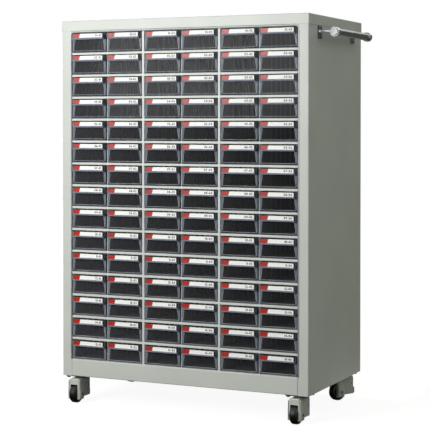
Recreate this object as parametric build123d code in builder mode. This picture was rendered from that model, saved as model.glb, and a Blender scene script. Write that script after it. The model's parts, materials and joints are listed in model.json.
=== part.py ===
"""Mobile parts bin cabinet: a folded steel body on four swivel casters, fifteen
shelves deep and six clear drawers wide, with a push handle on its right side."""
from build123d import *
import os

# ---------------------------------------------------------------- driving dimensions (mm)
# body
body_width = 700.0
body_depth = 390.0
body_height = 937.0
sheet = 1.2                # outer steel sheet
bend_radius = 2.4          # outside radius of a fold
seam = 0.3                 # gap left along a seam between two pieces
pillar_width = 30.0        # front return of a side panel
pillar_lip = 14.0          # short return behind the pillar's inner edge
rear_return = 20.0
cover_skirt = 26.0
cover_edge_radius = 2.2
base_band = 45.0           # height of the band under the lowest row
base_flange = 16.0         # fold along the top of that band

# rows and columns of drawers
row_count = 15
row_pitch = 57.7
bay_count = 3
columns_per_bay = 2
partition_width = 6.0      # upright channel between two bays
partition_sheet = 1.0
shelf_sheet = 1.0
shelf_lip = 6.0            # front fold that hangs under a shelf
shelf_upstand = 8.0        # rear fold that stands up behind the drawers
shelf_setback = 1.0        # shelf lip behind the face of the pillars
guide_sheet = 1.2          # upright between the two drawers of a bay
guide_setback = 5.0

# drawers
drawer_height = 50.0
drawer_length = 352.0
drawer_side_gap = 0.7
drawer_lift = 0.3          # a drawer rests this far clear of its shelf
drawer_setback = 1.5       # drawer front behind the face of the pillars
drawer_wall = 1.6
drawer_front_wall = 2.2
drawer_floor = 1.8
drawer_corner = 3.0
drawer_side_drop = 3.0     # side walls end this much under the front
drawer_back_drop = 6.0
drawer_foot = 1.0          # small lip along the bottom of the front
drawer_foot_height = 2.4
pull_depth = 9.0           # label holder and finger pull
pull_height = 14.5
pull_end_gap = 2.4         # pull is this much narrower than the drawer, each end
pull_wall = 1.6
pull_corner = 5.0
pull_edge_radius = 1.28
card_recess = 0.6
card_width = 88.0
card_height = 10.6
card_top_margin = 1.7
window_recess = 0.6        # shallow see-through panel in the drawer front
window_margin = 3.6        # under and over the window
window_half_bottom = 46.5
window_half_top = 42.0
rib_pitch = 31.0           # ribs up the side walls, which a divider slides down over
rib_first = 75.0
rib_count = 6
rib_width = 1.2
rib_depth = 1.3
rib_top = 40.0
divider_sheet = 1.2
divider_rib = 5            # which rib, from the front, holds the divider
divider_height = 38.0
divider_play = 0.3
divider_cheek = 1.4        # wall of the groove at each end of a divider
single_rows = (8, 9)       # rows, from the top, whose drawers slide one by one

# push handle
handle_drop = 43.0         # axis under the top of the body
handle_standoff = 42.0     # axis out from the side panel
handle_span = 242.0        # between the two brackets
handle_overhang = 9.0      # tube past each bracket's middle
tube_radius = 9.5
tube_wall = 1.2
ring_radius = 12.0
ring_length = 14.0
ring_fit = 0.05
flange_depth = 24.0
flange_height = 33.0
flange_thickness = 3.0
flange_corner = 6.0
arm_root_radius = 5.0
arm_tip_radius = 3.7
cap_thickness = 1.6
cap_edge_radius = 0.96
cap_plug_length = 8.0
cap_plug_fit = 0.1
handle_screw_offset = 10.8
handle_screw_radius = 2.0
handle_screw_head_radius = 3.8
handle_screw_head = 2.2
handle_screw_dome = 1.1
handle_screw_length = 9.0

# screws of the back panel
back_screw_rows = 5
back_screw_radius = 2.0
back_screw_head_radius = 4.0
back_screw_head = 2.0
back_screw_chamfer = 0.7
back_screw_length = 6.0
back_screw_margin = 60.0
screw_hole_play = 0.15

# casters
caster_height = 72.0
caster_inset = 36.0        # swivel axis in from both edges of the body
caster_trail = 24.0        # wheel axle from the swivel axis
wheel_radius = 24.0
wheel_width = 20.0
wheel_crown = 6.0          # rounded edge of the tread
wheel_dish = 1.5
wheel_dish_inner = 9.0
wheel_dish_outer = 16.5
hub_radius = 6.5
hub_play = 0.4
axle_radius = 3.0
running_fit = 0.05
axle_head_radius = 4.6
axle_head = 2.6
plate_size = 60.0
plate_thickness = 2.5
plate_corner = 5.0
race_radius = 16.0
race_depth = 2.2
race_play = 0.3
bolt_spacing = 46.0
bolt_radius = 2.9
bolt_head_radius = 5.2
bolt_head = 3.6
bolt_tail = 5.0
kingpin_radius = 4.0
kingpin_head_radius = 6.5
kingpin_head = 2.5
fork_half_width = 17.0
fork_sheet = 2.0
fork_front = 36.0          # ahead of the swivel axis
fork_rear = 18.0           # behind it
fork_shoulder = 7.0
fork_nose = 3.0
fork_toe = 3.0             # slope at the rear of a leg's foot
fork_neck = 15.0
fork_neck_height = 2.5
fork_leg_bottom = 10.0
fork_skirt_bottom = 16.0
fork_leg_rear = 13.0       # rear edge of the leg, ahead of the swivel axis
fork_window_width = 21.0
fork_window_top = 49.0
pedal_half_width = 13.0
pedal_pivot = (11.0, 44.0)         # behind the swivel axis, above the floor
pedal_pin_radius = 2.0
pedal_reach = 8.0                  # past the rear edge of the fork
pedal_top = 35.0
pedal_bottom = 16.5
pedal_thickness = 2.4
pedal_boss = 4.2
shoe_gap = 2.4                     # brake shoe to tread with the brake off
shoe_height = 27.0
# turn of each caster about its swivel axis, in degrees
caster_turns = {"front_left": 0.0, "front_right": -4.0, "rear_right": -28.0, "rear_left": -14.0}

# ---------------------------------------------------------------- worked-out places
# The origin is under the middle of the whole cabinet's box: the handle widens it on
# the right and the front wheels lengthen it at the front.
cover_inset = sheet + seam                       # side panels inside the cover's skirt
handle_reach = handle_standoff + ring_radius - cover_inset
wheel_reach = caster_trail + wheel_radius - caster_inset
body_x = -handle_reach / 2
body_y = wheel_reach / 2
base_z = caster_height
top_z = base_z + body_height
ceiling_z = top_z - bend_radius - seam            # tops of the panels, inside the cover

outer_half = body_width / 2 - cover_inset        # side panels' outer faces
inner_half = body_width / 2 - pillar_width       # edges of the opening
front_y = body_y - body_depth / 2 + cover_inset  # face of the pillars
back_y = body_y + body_depth / 2 - cover_inset   # outer face of the back panel
panel_rear_y = back_y - sheet                    # rear returns of the side panels

bay_width = (2 * inner_half - (bay_count - 1) * partition_width) / bay_count
cell_width = (bay_width - (columns_per_bay - 1) * guide_sheet) / columns_per_bay
drawer_width = cell_width - 2 * drawer_side_gap
first_floor_z = base_z + base_band + shelf_sheet
shelf_front_y = front_y + shelf_setback
shelf_rear_y = panel_rear_y - seam
drawer_y = front_y + drawer_setback

handle_x = body_x + outer_half + handle_standoff
handle_z = top_z - handle_drop
bracket_y = [body_y - handle_span / 2, body_y + handle_span / 2]

swivel_x = body_width / 2 - caster_inset
swivel_y = body_depth / 2 - caster_inset
caster_places = {
    "front_left": (body_x - swivel_x, body_y - swivel_y),
    "front_right": (body_x + swivel_x, body_y - swivel_y),
    "rear_right": (body_x + swivel_x, body_y + swivel_y),
    "rear_left": (body_x - swivel_x, body_y + swivel_y),
}
plate_z = caster_height - plate_thickness
race_z = plate_z - race_depth
neck_z = race_z - race_play
hood_z = neck_z - fork_neck_height
axle_half = fork_half_width + axle_head

back_screw_x = outer_half - rear_return / 2
back_screw_pitch = (body_height - cover_skirt - 2 * back_screw_margin) / (back_screw_rows - 1)


def bay_left(bay):
    """Left edge of a bay, counted from the left."""
    return body_x - inner_half + bay * (bay_width + partition_width)


def column_x(column):
    """Middle of a column of drawers, counted from the left."""
    bay, place = divmod(column, columns_per_bay)
    return bay_left(bay) + cell_width / 2 + place * (cell_width + guide_sheet)


def floor_z(row):
    """Top face of the shelf under a row, counted from the top as 1."""
    return first_floor_z + (row_count - row) * row_pitch


def rectangle_between(x0, x1, y0, y1):
    """Rectangle given by its sides, in the sketch that is open."""
    with Locations(((x0 + x1) / 2, (y0 + y1) / 2)):
        Rectangle(abs(x1 - x0), abs(y1 - y0))


def folded_sheet(points, thickness, side):
    """Section of a folded sheet: its outer line with rounded folds, and its thickness."""
    with BuildLine() as outline:
        FilletPolyline(*points, radius=bend_radius)
        offset(amount=thickness, side=side)
    make_face(outline.edges())


def save(part, name):
    part.label = name
    export_step(part, "parts/%s.step" % name)


os.makedirs("parts", exist_ok=True)

# ---------------------------------------------------------------- body: outer shell
back_screw_spots = [
    (side * back_screw_x, base_z + back_screw_margin + step * back_screw_pitch)
    for side in (-1, 1)
    for step in range(back_screw_rows)
]
handle_screw_spots = [
    (y, handle_z + end * handle_screw_offset) for y in bracket_y for end in (-1, 1)
]


def side_panel(side):
    """Folded channel: pillar with its lip in front, side wall, return behind.
    side is 1 for the right panel and -1 for the left one."""
    with BuildPart() as panel:
        with BuildSketch(Plane.XY.offset(base_z)):
            outline = [
                (body_x + side * inner_half, front_y + pillar_lip),
                (body_x + side * inner_half, front_y),
                (body_x + side * outer_half, front_y),
                (body_x + side * outer_half, panel_rear_y),
                (body_x + side * (outer_half - rear_return), panel_rear_y),
            ]
            folded_sheet(outline, sheet, Side.LEFT if side > 0 else Side.RIGHT)
        extrude(amount=ceiling_z - base_z)
        with BuildSketch(Plane.XZ.offset(-panel_rear_y)):
            with Locations([(body_x + x, z) for x, z in back_screw_spots if x * side > 0]):
                Circle(back_screw_radius + screw_hole_play)
        extrude(amount=2 * sheet, both=True, mode=Mode.SUBTRACT)
        if side > 0:
            with BuildSketch(Plane.YZ.offset(body_x + outer_half)):
                with Locations(handle_screw_spots):
                    Circle(handle_screw_radius + screw_hole_play)
            extrude(amount=2 * sheet, both=True, mode=Mode.SUBTRACT)
    return panel.part


save(side_panel(-1), "side_panel_left")
save(side_panel(1), "side_panel_right")

with BuildPart() as top_cover:
    with BuildSketch(Plane.XY.offset(top_z - cover_skirt)):
        with Locations((body_x, body_y)):
            RectangleRounded(body_width, body_depth, bend_radius)
    extrude(amount=cover_skirt)
    fillet(faces().sort_by(Axis.Z)[-1].edges(), cover_edge_radius)
    offset(amount=-sheet, openings=faces().sort_by(Axis.Z)[0])
save(top_cover.part, "top_cover")

caster_bolt_spots = [
    (x + dx * bolt_spacing / 2, y + dy * bolt_spacing / 2)
    for x, y in caster_places.values()
    for dx in (-1, 1)
    for dy in (-1, 1)
]

with BuildPart() as base_tray:
    tray_half = inner_half - seam
    tray_rear_y = panel_rear_y - sheet - seam
    with BuildSketch(Plane.YZ.offset(body_x)):
        tray_outline = [
            (front_y + base_flange, base_z + base_band),
            (front_y, base_z + base_band),
            (front_y, base_z),
            (tray_rear_y, base_z),
            (tray_rear_y, base_z + base_band),
        ]
        folded_sheet(tray_outline, sheet, Side.LEFT)
    extrude(amount=tray_half, both=True)
    with BuildSketch(Plane.XY.offset(base_z)):
        wing_half = outer_half - sheet - seam
        wing_front_y = front_y + pillar_lip + seam
        rectangle_between(body_x - wing_half, body_x + wing_half, wing_front_y, tray_rear_y - bend_radius)
    extrude(amount=sheet)
    with BuildSketch(Plane.XY.offset(base_z)):
        with Locations(caster_bolt_spots):
            Circle(bolt_radius + screw_hole_play)
    extrude(amount=sheet, mode=Mode.SUBTRACT)
save(base_tray.part, "base_tray")

with BuildPart() as back_panel:
    with BuildSketch(Plane.XZ.offset(-panel_rear_y)):
        back_half = outer_half - seam
        rectangle_between(body_x - back_half, body_x + back_half, base_z, ceiling_z)
        with Locations([(body_x + x, z) for x, z in back_screw_spots]):
            Circle(back_screw_radius + screw_hole_play, mode=Mode.SUBTRACT)
    extrude(amount=-sheet)
save(back_panel.part, "back_panel")

with BuildPart() as back_screws:
    with BuildSketch(Plane.XZ.offset(-back_y)):
        with Locations([(body_x + x, z) for x, z in back_screw_spots]):
            Circle(back_screw_head_radius)
    extrude(amount=-back_screw_head)
    chamfer(faces().sort_by(Axis.Y)[-2 * back_screw_rows:].edges(), back_screw_chamfer)
    with BuildSketch(Plane.XZ.offset(-back_y)):
        with Locations([(body_x + x, z) for x, z in back_screw_spots]):
            Circle(back_screw_radius)
    extrude(amount=back_screw_length)
save(back_screws.part, "back_screws")

# ---------------------------------------------------------------- body: walls, shelves, guides
with BuildPart() as inner_walls:
    wall_rear_y = panel_rear_y - sheet
    with BuildSketch(Plane.XY.offset(base_z + sheet)):
        for side in (-1, 1):
            wall_outline = [
                (body_x + side * inner_half, front_y + pillar_lip + seam),
                (body_x + side * inner_half, wall_rear_y),
                (body_x + side * (inner_half + pillar_lip), wall_rear_y),
            ]
            folded_sheet(wall_outline, sheet, Side.RIGHT if side > 0 else Side.LEFT)
    extrude(amount=ceiling_z - base_z - sheet)
save(inner_walls.part, "inner_walls")

with BuildPart() as bay_partitions:
    partition_front = front_y + shelf_setback / 2
    with BuildSketch(Plane.XY.offset(base_z + base_band)):
        for bay in range(1, bay_count):
            right = bay_left(bay)
            left = right - partition_width
            rectangle_between(left, right, partition_front, partition_front + partition_sheet)
            rectangle_between(left, left + partition_sheet, partition_front, shelf_rear_y)
            rectangle_between(right - partition_sheet, right, partition_front, shelf_rear_y)
    extrude(amount=ceiling_z - base_z - base_band)
save(bay_partitions.part, "bay_partitions")


def shelf_stack(bay):
    """All the shelves of one bay, and the ceiling sheet over its top row."""
    with BuildPart() as stack:
        with BuildSketch(Plane.YZ.offset(bay_left(bay))):
            for row in range(row_count, -1, -1):
                z = floor_z(row)
                upstand_y = shelf_rear_y - shelf_sheet
                line = [(shelf_front_y, z), (upstand_y, z)]
                if row < row_count:
                    line.insert(0, (shelf_front_y, z - shelf_lip))
                if row > 0:
                    line.append((upstand_y, z + shelf_upstand))
                folded_sheet(line, shelf_sheet, Side.RIGHT)
        extrude(amount=bay_width)
    return stack.part


for bay, bay_name in enumerate(("left", "middle", "right")):
    save(shelf_stack(bay), "shelves_" + bay_name)


with BuildPart() as drawer_guides:
    for bay in range(bay_count):
        guide_x = bay_left(bay) + cell_width
        with BuildSketch(Plane.YZ.offset(guide_x)):
            for row in range(1, row_count + 1):
                guide_top = floor_z(row - 1) - shelf_sheet
                guide_rear_y = shelf_rear_y - shelf_sheet - bend_radius
                rectangle_between(front_y + guide_setback, guide_rear_y, floor_z(row), guide_top)
        extrude(amount=guide_sheet)
save(drawer_guides.part, "drawer_guides")

# ---------------------------------------------------------------- drawers
# A drawer is modelled once, with its front at Y = 0, its floor at Z = 0 and its
# middle at X = 0, and set in place for every cell.
half_width = drawer_width / 2
inside_half = half_width - drawer_wall
pull_bottom = drawer_height - pull_height
pull_half = half_width - pull_end_gap
divider_y = rib_first + (divider_rib - 1) * rib_pitch

with BuildPart() as tray:
    with BuildSketch():
        rectangle_between(-half_width, half_width, 0, drawer_length)
        fillet(vertices(), drawer_corner)
    extrude(amount=drawer_height)
    with BuildSketch(Plane.XY.offset(drawer_floor)):
        rectangle_between(-inside_half, inside_half, drawer_front_wall, drawer_length - drawer_wall)
        fillet(vertices(), drawer_corner - drawer_wall)
    extrude(amount=drawer_height, mode=Mode.SUBTRACT)
    with BuildSketch(Plane.XY.offset(drawer_height - drawer_side_drop)):
        rectangle_between(-half_width, half_width, drawer_corner, drawer_length)
    extrude(amount=drawer_side_drop, mode=Mode.SUBTRACT)
    with BuildSketch(Plane.XY.offset(drawer_height - drawer_back_drop)):
        rectangle_between(-inside_half, inside_half, drawer_length / 2, drawer_length)
    extrude(amount=drawer_back_drop, mode=Mode.SUBTRACT)
    # ribs for dividers up both side walls
    with BuildSketch(Plane.XY.offset(drawer_floor)):
        for rib in range(rib_count):
            rib_y = rib_first + rib * rib_pitch
            for side in (-1, 1):
                rib_foot = side * (inside_half + drawer_wall / 2)
                rib_tip = side * (inside_half - rib_depth)
                rectangle_between(rib_foot, rib_tip, rib_y - rib_width / 2, rib_y + rib_width / 2)
    extrude(amount=rib_top - drawer_floor)
    # label holder along the top of the front, open underneath for the fingers
    with BuildSketch(Plane.XY.offset(pull_bottom)):
        rectangle_between(-pull_half, pull_half, -pull_depth, drawer_front_wall / 2)
        fillet(vertices().group_by(Axis.Y)[0], pull_corner)
    extrude(amount=pull_height)
    fillet(edges().filter_by(Axis.X).group_by(Axis.Y)[0], pull_edge_radius)
    with BuildSketch(Plane.XY.offset(pull_bottom)):
        rectangle_between(-pull_half + pull_wall, pull_half - pull_wall, pull_wall - pull_depth, 0)
        fillet(vertices().group_by(Axis.Y)[0], pull_corner - pull_wall)
    extrude(amount=pull_height - pull_wall, mode=Mode.SUBTRACT)
    # shallow seat for the card, and the see-through panel under the pull
    with BuildSketch(Plane.XZ.offset(pull_depth)):
        card_top = drawer_height - card_top_margin
        rectangle_between(-card_width / 2, card_width / 2, card_top - card_height, card_top)
    extrude(amount=-card_recess, mode=Mode.SUBTRACT)
    with BuildSketch(Plane.XZ):
        window_low = drawer_foot_height + window_margin / 2
        window_high = pull_bottom - window_margin / 2
        with BuildLine():
            Polyline(
                (-window_half_bottom, window_low),
                (window_half_bottom, window_low),
                (window_half_top, window_high),
                (-window_half_top, window_high),
                close=True,
            )
        make_face()
    extrude(amount=-window_recess, mode=Mode.SUBTRACT)
    with BuildSketch(Plane.XY):
        foot_half = half_width - drawer_corner
        rectangle_between(-foot_half, foot_half, -drawer_foot, drawer_front_wall / 2)
    extrude(amount=drawer_foot_height)

# A divider is a plate with a grooved block at each end that straddles a rib.
with BuildPart() as divider:
    divider_half = inside_half - divider_play
    groove_half = rib_width / 2 + divider_play
    block_half = groove_half + divider_cheek
    block_x = inside_half - rib_depth - divider_play
    with BuildSketch(Plane.XY.offset(drawer_floor + divider_play)):
        block_root = block_x - divider_cheek
        rectangle_between(-block_x, block_x, divider_y - divider_sheet / 2, divider_y + divider_sheet / 2)
        for side in (-1, 1):
            side_x = side * divider_half
            rectangle_between(side * block_root, side_x, divider_y - block_half, divider_y + block_half)
            groove = (side * block_x, side_x + side, divider_y - groove_half, divider_y + groove_half)
            with Locations(((groove[0] + groove[1]) / 2, divider_y)):
                Rectangle(abs(groove[1] - groove[0]), 2 * groove_half, mode=Mode.SUBTRACT)
    extrude(amount=divider_height)


def drawers_at(row, columns):
    """The drawers of one row in the given columns, each with its divider."""
    spots = [(column_x(column), drawer_y, floor_z(row) + drawer_lift) for column in columns]
    with BuildPart() as drawers:
        with Locations(spots):
            add(tray.part)
            add(divider.part)
    return drawers.part


column_count = bay_count * columns_per_bay
for row in range(1, row_count + 1):
    if row in single_rows:
        for column in range(column_count):
            save(drawers_at(row, [column]), "drawer_r%02d_c%d" % (row, column + 1))
    else:
        save(drawers_at(row, range(column_count)), "drawers_row_%02d" % row)

# ---------------------------------------------------------------- push handle
handle_panel_x = body_x + outer_half

with BuildPart() as handle_brackets:
    for y in bracket_y:
        with BuildSketch(Plane.YZ.offset(handle_panel_x)):
            with Locations((y, handle_z)):
                RectangleRounded(flange_depth, flange_height, flange_corner)
            with Locations([(y, handle_z + end * handle_screw_offset) for end in (-1, 1)]):
                Circle(handle_screw_radius + screw_hole_play, mode=Mode.SUBTRACT)
        extrude(amount=flange_thickness)
        with BuildSketch(Plane.YZ.offset(handle_panel_x + flange_thickness)) as arm_root:
            with Locations((y, handle_z)):
                Circle(arm_root_radius)
        with BuildSketch(Plane.YZ.offset(handle_x - ring_radius + tube_wall)) as arm_tip:
            with Locations((y, handle_z)):
                Circle(arm_tip_radius)
        loft()
        with BuildSketch(Plane.XZ.offset(-y - ring_length / 2)):
            with Locations((handle_x, handle_z)):
                Circle(ring_radius)
        extrude(amount=ring_length)
        with BuildSketch(Plane.XZ.offset(-y - ring_length / 2)):
            with Locations((handle_x, handle_z)):
                Circle(tube_radius + ring_fit)
        extrude(amount=ring_length, mode=Mode.SUBTRACT)
save(handle_brackets.part, "handle_brackets")

tube_half = handle_span / 2 + handle_overhang
with BuildPart() as handle_tube:
    with BuildSketch(Plane.XZ.offset(-body_y)):
        with Locations((handle_x, handle_z)):
            Circle(tube_radius)
            Circle(tube_radius - tube_wall, mode=Mode.SUBTRACT)
    extrude(amount=tube_half, both=True)
save(handle_tube.part, "handle_tube")

with BuildPart() as handle_end_caps:
    for end in (-1, 1):
        cap_face = Plane((handle_x, body_y + end * tube_half, handle_z), z_dir=(0, end, 0))
        with BuildSketch(cap_face):
            Circle(tube_radius)
        extrude(amount=cap_thickness)
        with BuildSketch(cap_face):
            Circle(tube_radius - tube_wall - cap_plug_fit)
        extrude(amount=-cap_plug_length)
    fillet(faces().filter_by(Axis.Y).sort_by(Axis.Y)[0].edges(), cap_edge_radius)
    fillet(faces().filter_by(Axis.Y).sort_by(Axis.Y)[-1].edges(), cap_edge_radius)
save(handle_end_caps.part, "handle_end_caps")

with BuildPart() as handle_screws:
    head_x = handle_panel_x + flange_thickness
    with BuildSketch(Plane.YZ.offset(head_x)):
        with Locations(handle_screw_spots):
            Circle(handle_screw_head_radius)
    extrude(amount=handle_screw_head)
    fillet(faces().filter_by(Axis.X).group_by(Axis.X)[-1].edges(), handle_screw_dome)
    with BuildSketch(Plane.YZ.offset(head_x)):
        with Locations(handle_screw_spots):
            Circle(handle_screw_radius)
    extrude(amount=-handle_screw_length)
save(handle_screws.part, "handle_screws")

# ---------------------------------------------------------------- casters: fixed parts
with BuildPart() as caster_plates:
    spots = list(caster_places.values())
    with BuildSketch(Plane.XY.offset(plate_z)):
        with Locations(spots):
            RectangleRounded(plate_size, plate_size, plate_corner)
        with Locations(caster_bolt_spots):
            Circle(bolt_radius + screw_hole_play, mode=Mode.SUBTRACT)
    extrude(amount=plate_thickness)
    with BuildSketch(Plane.XY.offset(race_z)):
        with Locations(spots):
            Circle(race_radius)
    extrude(amount=race_depth)
    with BuildSketch(Plane.XY.offset(race_z)):
        with Locations(spots):
            Circle(kingpin_radius + running_fit)
    extrude(amount=plate_thickness + race_depth, mode=Mode.SUBTRACT)
save(caster_plates.part, "caster_plates")

with BuildPart() as caster_bolts:
    with BuildSketch(Plane.XY.offset(plate_z)):
        with Locations(caster_bolt_spots):
            RegularPolygon(bolt_head_radius, 6)
    extrude(amount=-bolt_head)
    with BuildSketch(Plane.XY.offset(plate_z)):
        with Locations(caster_bolt_spots):
            Circle(bolt_radius)
    extrude(amount=plate_thickness + sheet + bolt_tail)
save(caster_bolts.part, "caster_bolts")

hood_inside_z = hood_z - fork_sheet
with BuildPart() as caster_kingpins:
    with BuildSketch(Plane.XY.offset(base_z)):
        with Locations(spots):
            Circle(kingpin_radius)
    extrude(amount=-(base_z - hood_inside_z + race_play + kingpin_head))
    with BuildSketch(Plane.XY.offset(hood_inside_z - race_play)):
        with Locations(spots):
            Circle(kingpin_head_radius)
    extrude(amount=-kingpin_head)
save(caster_kingpins.part, "caster_kingpins")

# ---------------------------------------------------------------- casters: turning parts
# Each piece is modelled once for a swivel axis at X = 0, Y = 0 with the wheel towards
# -Y, and set in place for every caster.
axle_spot = (-caster_trail, wheel_radius)

inside = fork_half_width - fork_sheet
with BuildPart() as fork_hollow:
    with BuildSketch(Plane.XY):
        rectangle_between(-inside, inside, -fork_front + fork_sheet, fork_rear)
    extrude(amount=hood_inside_z)
    hollow_top = faces().filter_by(Axis.Z).sort_by(Axis.Z)[-1]
    fillet(hollow_top.edges().filter_by(Axis.Y), fork_shoulder - fork_sheet)

with BuildPart() as fork:
    with BuildSketch(Plane.YZ):
        with BuildLine():
            Polyline(
                (-fork_front, fork_leg_bottom),
                (-fork_front, hood_z),
                (fork_rear, hood_z),
                (fork_rear, fork_skirt_bottom),
                (-fork_leg_rear, fork_skirt_bottom),
                (-fork_leg_rear - fork_toe, fork_leg_bottom),
                close=True,
            )
        make_face()
        fillet(vertices().group_by(Axis.Y)[-1].sort_by(Axis.X)[0], fork_nose)
    extrude(amount=fork_half_width, both=True)
    fillet(faces().filter_by(Axis.Z).sort_by(Axis.Z)[-1].edges().filter_by(Axis.Y), fork_shoulder)
    with BuildSketch(Plane.XY.offset(hood_z - fork_sheet)):
        Circle(fork_neck)
    extrude(amount=fork_sheet + fork_neck_height)
    add(fork_hollow.part, mode=Mode.SUBTRACT)
    with BuildSketch(Plane.XZ.offset(fork_front)):
        rectangle_between(-fork_window_width / 2, fork_window_width / 2, 0, fork_window_top)
        fillet(vertices().group_by(Axis.Y)[-1], fork_sheet)
    extrude(amount=-fork_sheet, mode=Mode.SUBTRACT)
    with BuildSketch(Plane.XY):
        Circle(kingpin_radius + running_fit)
    extrude(amount=base_z, mode=Mode.SUBTRACT)
    with BuildSketch(Plane.YZ):
        with Locations(axle_spot):
            Circle(axle_radius + running_fit)
        with Locations(pedal_pivot):
            Circle(pedal_pin_radius + running_fit)
    extrude(amount=fork_half_width, both=True, mode=Mode.SUBTRACT)

with BuildPart() as wheel:
    wheel_axis = Axis((0, axle_spot[0], axle_spot[1]), (1, 0, 0))
    wheel_half = wheel_width / 2
    hub_half = inside - hub_play
    bore = axle_radius + running_fit
    with BuildSketch(Plane((0, axle_spot[0], axle_spot[1]))):
        with BuildLine():
            shoulder_z = wheel_radius - wheel_crown
            crown_half = wheel_half - wheel_crown
            Polyline(
                (-hub_half, bore),
                (-hub_half, hub_radius),
                (-wheel_half, hub_radius),
                (-wheel_half, wheel_dish_inner),
                (-wheel_half + wheel_dish, wheel_dish_inner),
                (-wheel_half + wheel_dish, wheel_dish_outer),
                (-wheel_half, wheel_dish_outer),
                (-wheel_half, shoulder_z),
            )
            CenterArc((-crown_half, shoulder_z), wheel_crown, 180, -90)
            Line((-crown_half, wheel_radius), (crown_half, wheel_radius))
            CenterArc((crown_half, shoulder_z), wheel_crown, 90, -90)
            Polyline(
                (wheel_half, shoulder_z),
                (wheel_half, wheel_dish_outer),
                (wheel_half - wheel_dish, wheel_dish_outer),
                (wheel_half - wheel_dish, wheel_dish_inner),
                (wheel_half, wheel_dish_inner),
                (wheel_half, hub_radius),
                (hub_half, hub_radius),
                (hub_half, bore),
                (-hub_half, bore),
            )
        make_face()
    revolve(axis=wheel_axis)

with BuildPart() as axle:
    with BuildSketch(Plane.YZ):
        with Locations(axle_spot):
            Circle(axle_radius)
    extrude(amount=axle_half, both=True)
    for end in (-1, 1):
        with BuildSketch(Plane.YZ.offset(end * fork_half_width)):
            with Locations(axle_spot):
                RegularPolygon(axle_head_radius, 6)
        extrude(amount=end * axle_head)

with BuildPart() as pedal_pin:
    with BuildSketch(Plane.YZ):
        with Locations(pedal_pivot):
            Circle(pedal_pin_radius)
    extrude(amount=fork_half_width + pedal_pin_radius / 2, both=True)

# The pedal hangs from its pin between the cheeks of the fork: its arm reaches down to a
# shoe behind the tread, and out to the rear to a tab for the toe.
with BuildPart() as pedal:
    pivot_y, pivot_z = pedal_pivot
    shoe_y = axle_spot[0] + wheel_radius + shoe_gap
    tab_y = fork_rear + pedal_reach
    with BuildSketch(Plane.YZ):
        with BuildLine():
            Polyline(
                (pivot_y - pedal_boss, pivot_z),
                (shoe_y, shoe_height + pedal_thickness),
                (shoe_y, shoe_height - pedal_thickness),
                (pivot_y, shoe_height),
                (tab_y - 2 * pedal_thickness, shoe_height),
                (tab_y - pedal_thickness, shoe_height - pedal_thickness),
                (tab_y - pedal_thickness, pedal_bottom),
                (tab_y, pedal_bottom),
                (tab_y, pedal_top - 2 * pedal_thickness),
                (tab_y - 2 * pedal_thickness, pedal_top),
                (pivot_y + pedal_boss, pedal_top),
                (pivot_y + pedal_boss, pivot_z),
                close=True,
            )
        make_face()
        with Locations(pedal_pivot):
            Circle(pedal_boss)
            Circle(pedal_pin_radius + running_fit, mode=Mode.SUBTRACT)
    extrude(amount=pedal_half_width, both=True)

for place, (x, y) in caster_places.items():
    spot = Location((x, y, 0), (0, 0, caster_turns[place]))
    with BuildPart() as fork_here:
        with Locations(spot):
            add(fork.part)
    save(fork_here.part, "caster_fork_" + place)
    with BuildPart() as wheel_here:
        with Locations(spot):
            add(wheel.part)
    save(wheel_here.part, "caster_wheel_" + place)
    with BuildPart() as axle_here:
        with Locations(spot):
            add(axle.part)
            add(pedal_pin.part)
    save(axle_here.part, "caster_axle_" + place)
    with BuildPart() as pedal_here:
        with Locations(spot):
            add(pedal.part)
    save(pedal_here.part, "brake_pedal_" + place)
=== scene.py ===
"""Looks of the parts bin cabinet: cards, tabs, numbers, window edges, frosted cheeks,
slot rims and finger lips on the clear drawers, the bead round their opening, the pressed
cheeks and bosses of the caster forks, the finishes and the stage."""
import json

import bmesh
import bpy
import numpy as np
from mathutils import Euler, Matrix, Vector

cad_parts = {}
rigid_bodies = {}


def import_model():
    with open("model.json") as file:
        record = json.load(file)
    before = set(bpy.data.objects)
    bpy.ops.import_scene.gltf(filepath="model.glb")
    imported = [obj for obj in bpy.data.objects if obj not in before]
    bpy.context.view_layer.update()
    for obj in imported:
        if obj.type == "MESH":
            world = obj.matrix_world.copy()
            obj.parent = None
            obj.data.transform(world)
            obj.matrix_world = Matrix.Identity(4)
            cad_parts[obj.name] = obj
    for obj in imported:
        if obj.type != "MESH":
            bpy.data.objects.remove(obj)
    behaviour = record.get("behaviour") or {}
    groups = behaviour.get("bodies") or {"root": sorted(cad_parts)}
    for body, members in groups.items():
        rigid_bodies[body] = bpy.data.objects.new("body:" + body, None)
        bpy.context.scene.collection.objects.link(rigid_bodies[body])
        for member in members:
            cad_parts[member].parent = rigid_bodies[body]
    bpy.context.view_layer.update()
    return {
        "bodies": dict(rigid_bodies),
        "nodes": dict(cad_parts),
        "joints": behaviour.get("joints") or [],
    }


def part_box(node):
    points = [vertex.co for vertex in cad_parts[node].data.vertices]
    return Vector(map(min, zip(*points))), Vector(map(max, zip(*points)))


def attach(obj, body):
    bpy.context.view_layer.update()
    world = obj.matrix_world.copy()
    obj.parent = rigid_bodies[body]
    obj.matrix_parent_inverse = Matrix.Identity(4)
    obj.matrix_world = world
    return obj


bl_info = {
    "name": "Parts bin cabinet",
    "version": (1, 0, 0),
    "blender": (4, 5, 0),
    "location": "3D View > Sidebar > Cabinet",
    "description": "Dresses a mobile parts bin cabinet: drawers' cards, frames, finishes and stage",
    "category": "Object",
}

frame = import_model()
MM = 0.001
COLUMNS = 6
CASTERS = ("front_left", "front_right", "rear_right", "rear_left")

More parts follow.
